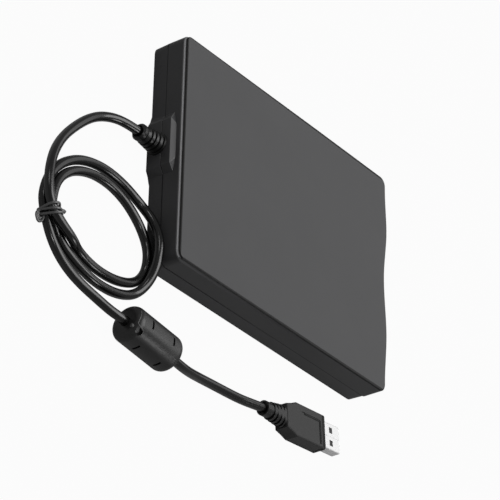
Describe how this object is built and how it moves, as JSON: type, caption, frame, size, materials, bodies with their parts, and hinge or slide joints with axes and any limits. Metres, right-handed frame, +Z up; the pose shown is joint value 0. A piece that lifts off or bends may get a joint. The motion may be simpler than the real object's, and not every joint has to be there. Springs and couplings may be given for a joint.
{
  "type": "external floppy disk drive",
  "caption": "Flat portable floppy disk drive with a waved front edge, front disk slot with flap and eject button, and a tied cord with ferrite clamp and USB plug.",
  "frame": {"origin": "on the table under the middle of the drive's case, at the plane of the feet", "axes": "+Z up, the disk slot faces -Y, the cord leaves the rear wall towards +Y, +X is the side of the eject button"},
  "size_m": [0.1514, 0.2128, 0.018],
  "materials": {
    "case_plastic": "satin dark grey moulded shell",
    "bezel_plastic": "black moulded front",
    "foot_rubber": "soft black rubber",
    "screw_steel": "black zinc screws",
    "lens_clear": "translucent green light pipe",
    "tray_steel": "zinc-plated pressed steel",
    "shaft_steel": "ground steel",
    "spring_steel": "drawn spring wire",
    "bronze": "sintered bronze",
    "magnet": "bonded ferrite",
    "copper": "enamelled copper windings",
    "board": "green solder mask",
    "black_parts": "black component plastic",
    "white_parts": "off-white nylon",
    "ribbon": "amber polyimide",
    "head_ceramic": "polished ceramic",
    "arm_metal": "pressed aluminium",
    "cord_jacket": "glossy black PVC",
    "tie_jacket": "black plastic-covered wire",
    "clamp_plastic": "black moulded clamp",
    "plug_plastic": "dark grey overmould",
    "plug_metal": "nickel-plated steel",
    "tongue_plastic": "black insulator",
    "contact_gold": "gold-plated contacts"
  },
  "bodies": {
    "housing": {"top_cover": "case_plastic", "bottom_case": "case_plastic", "rubber_feet": "foot_rubber", "case_screws": "screw_steel", "front_bezel": "bezel_plastic", "led_lens": "lens_clear", "led": "lens_clear", "chassis": "tray_steel", "shield_plate": "tray_steel", "slider_springs": "spring_steel", "motor_board": "board", "stator_coils": "copper", "spindle_bearing": "bronze", "guide_rods": "shaft_steel", "rod_clamps": "black_parts", "screw_bearing": "bronze", "stepper_motor": "shaft_steel", "control_board": "board", "control_chips": "black_parts", "crystal": "shaft_steel", "ribbon_connector": "white_parts", "motor_ribbon": "ribbon", "cord_header": "white_parts", "cord_pigtail": "cord_jacket", "disk_sensors": "black_parts", "cord_gland": "cord_jacket", "cord_lead": "cord_jacket", "cord_coil": "cord_jacket", "cord_tail": "cord_jacket", "twist_tie": "tie_jacket", "ferrite_base": "clamp_plastic", "ferrite_base_core": "magnet", "plug_relief": "plug_plastic", "plug_body": "plug_plastic", "plug_shell": "plug_metal", "plug_tongue": "tongue_plastic", "plug_contacts": "contact_gold"},
    "slot_flap": {"slot_door": "bezel_plastic"},
    "eject_slide": {"eject_slider": "tray_steel", "eject_button": "bezel_plastic"},
    "carrier": {"disk_carrier": "tray_steel", "carrier_pins": "shaft_steel", "lever_rivet": "tray_steel"},
    "lever": {"trigger_lever": "tray_steel"},
    "spindle": {"spindle_rotor": "shaft_steel", "rotor_magnet": "magnet", "spindle_hub": "shaft_steel", "drive_pin": "shaft_steel"},
    "carriage": {"head_carriage": "white_parts", "lower_head": "head_ceramic", "arm_pin": "shaft_steel", "arm_spring": "spring_steel"},
    "upper_arm": {"upper_head_arm": "arm_metal", "upper_head": "head_ceramic"},
    "screw": {"lead_screw": "shaft_steel"},
    "clamp_lid": {"ferrite_lid": "clamp_plastic", "ferrite_lid_core": "magnet"}
  },
  "joints": [
    {"name": "door_hinge", "type": "hinge", "parent": "housing", "child": "slot_flap", "pos_m": [0, -0.0668, 0.0128], "axis": [1, 0, 0], "range_deg": [0, 85], "stiffness_Nm_per_rad": 0.0002},
    {"name": "eject_travel", "type": "slide", "parent": "housing", "child": "eject_slide", "axis": [0, -1, 0], "range_m": [0, 0.005], "deforming": ["slider_springs"]},
    {"name": "carrier_lift", "type": "slide", "parent": "housing", "child": "carrier", "axis": [0, 0, -1], "range_m": [0, 0.0018]},
    {"name": "lever_swing", "type": "hinge", "parent": "carrier", "child": "lever", "pos_m": [0.04, 0.02, 0.0134], "axis": [0, 0, -1], "range_deg": [0, 38], "stiffness_Nm_per_rad": 0.001},
    {"name": "spindle_spin", "type": "hinge", "parent": "housing", "child": "spindle", "pos_m": [0, -0.017, 0.006], "axis": [0, 0, 1], "continuous": true},
    {"name": "head_travel", "type": "slide", "parent": "housing", "child": "carriage", "axis": [0, -1, 0], "range_m": [0, 0.0148]},
    {"name": "upper_arm_hinge", "type": "hinge", "parent": "carriage", "child": "upper_arm", "pos_m": [0, 0.05, 0.0106], "axis": [1, 0, 0], "range_deg": [0, 9.6]},
    {"name": "screw_spin", "type": "hinge", "parent": "housing", "child": "screw", "pos_m": [0.019, 0.045, 0.0093], "axis": [0, 1, 0], "range_deg": [0, 1780]},
    {"name": "clamp_hinge", "type": "hinge", "parent": "housing", "child": "clamp_lid", "pos_m": [-0.08348, 0.07554, 0.00199], "axis": [0.1196, 0.9928, 0], "range_deg": [0, 65]}
  ],
  "couplings": [
    {"joint": "carrier_lift", "follows": "eject_travel", "ratio": 0.36},
    {"joint": "upper_arm_hinge", "follows": "eject_travel", "rad_per_m": 33.5},
    {"joint": "screw_spin", "follows": "head_travel", "rad_per_m": 2094.4}
  ]
}
